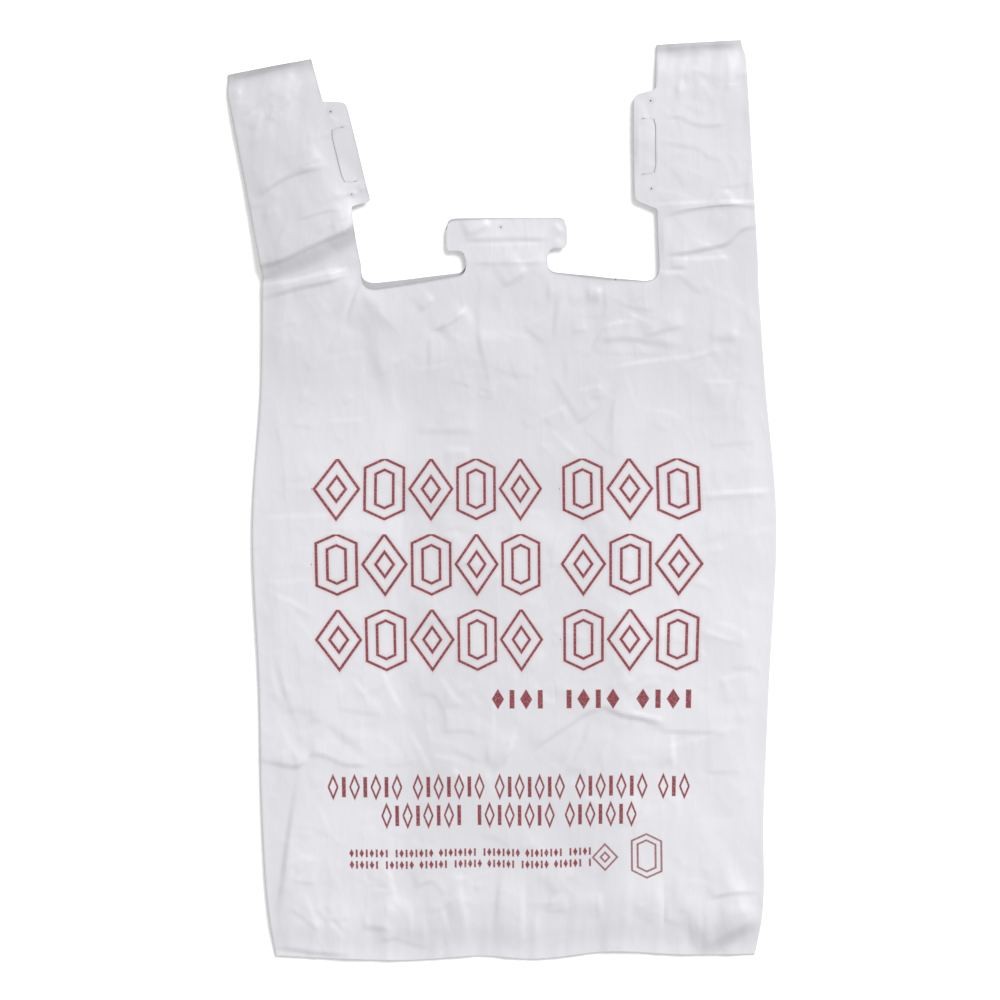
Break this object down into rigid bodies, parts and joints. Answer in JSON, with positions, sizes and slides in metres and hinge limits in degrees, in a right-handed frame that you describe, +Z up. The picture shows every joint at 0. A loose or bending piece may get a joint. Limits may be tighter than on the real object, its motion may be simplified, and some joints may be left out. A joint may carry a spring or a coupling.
{
  "type": "plastic carrier bag",
  "caption": "Empty side-gusseted film carrier bag with two loop handles, eared die-cut mouth and a hanging tab, lying flat.",
  "frame": {"origin": "on the table, at the middle of the rectangle that the laid bag covers", "axes": "+X across the bag to its right, +Y from the bottom seal to the handles, +Z up from the table"},
  "size_m": [0.3352, 0.5618, 0.0039],
  "materials": {
    "film": "satin"
  },
  "bodies": {
    "root": {"carrier_bag": "film"}
  },
  "joints": []
}
